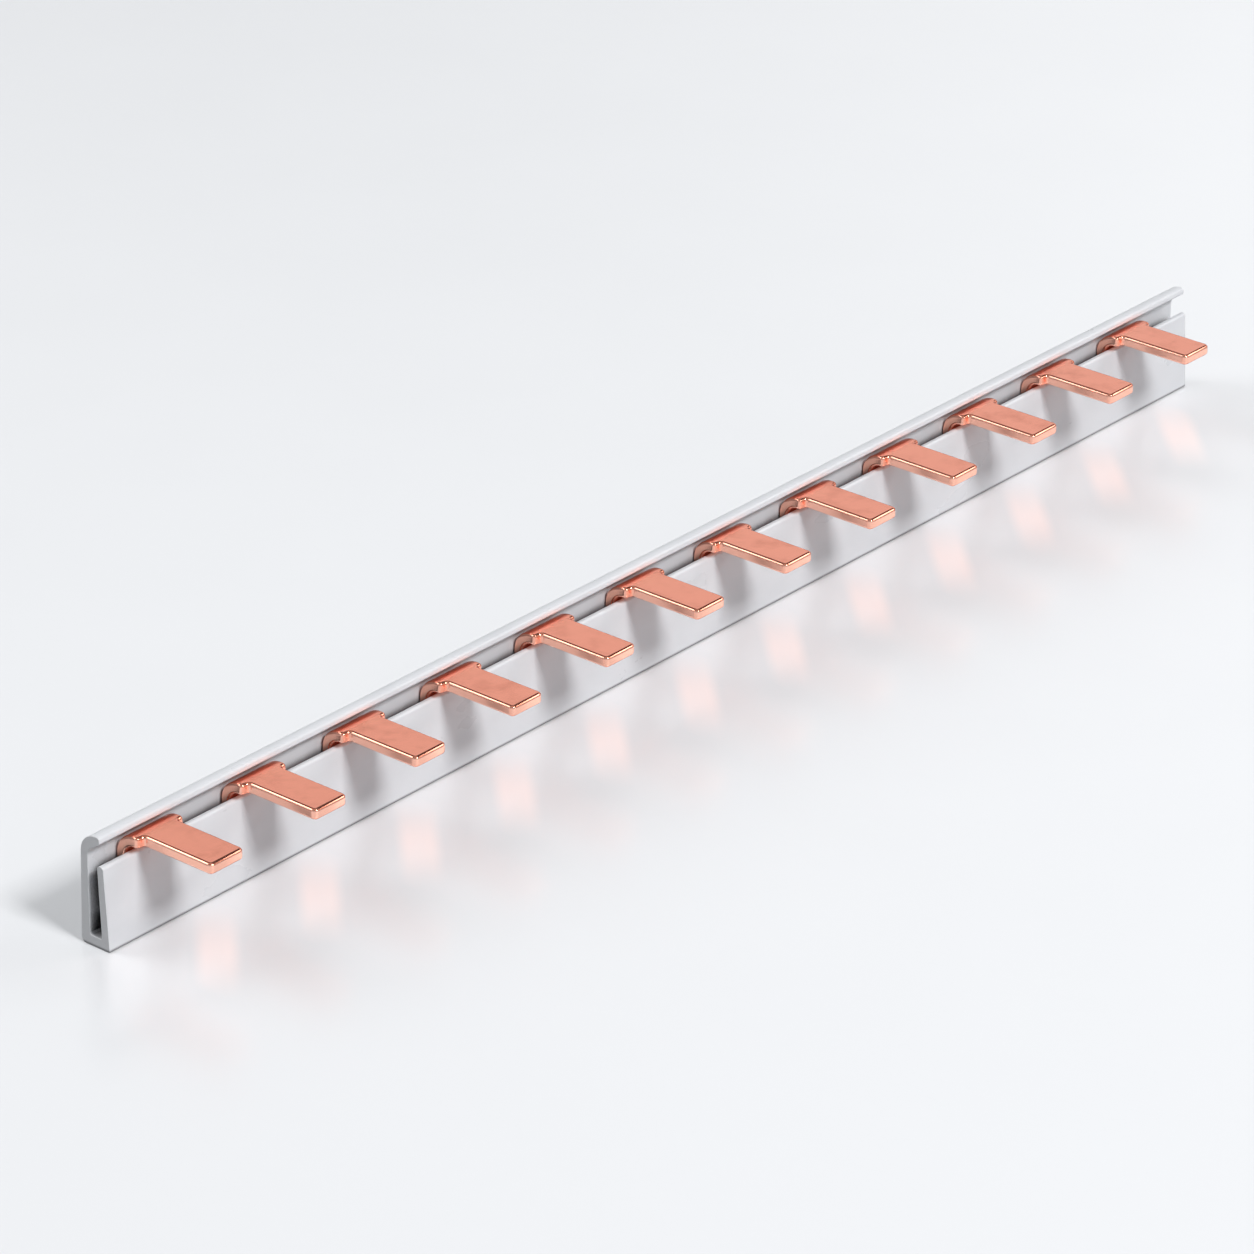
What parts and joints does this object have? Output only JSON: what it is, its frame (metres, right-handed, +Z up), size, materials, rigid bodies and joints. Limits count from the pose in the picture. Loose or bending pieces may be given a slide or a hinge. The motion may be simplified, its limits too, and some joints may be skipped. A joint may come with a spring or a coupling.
{
  "type": "comb busbar",
  "caption": "Pin comb busbar: a bent copper comb standing in a slotted grey plastic profile with a hooked lip.",
  "frame": {"origin": "middle of the profile's foot, halfway along the bar, on the surface that it stands on", "axes": "+X along the bar, -Y the way the fingers point, +Z up from the foot to the hooked lip"},
  "size_m": [0.2186, 0.0164, 0.0151],
  "materials": {
    "grey_pvc": "satin extruded PVC",
    "copper": "bare rolled copper"
  },
  "bodies": {
    "root": {"insulating_profile": "grey_pvc", "copper_comb": "copper"}
  },
  "joints": []
}
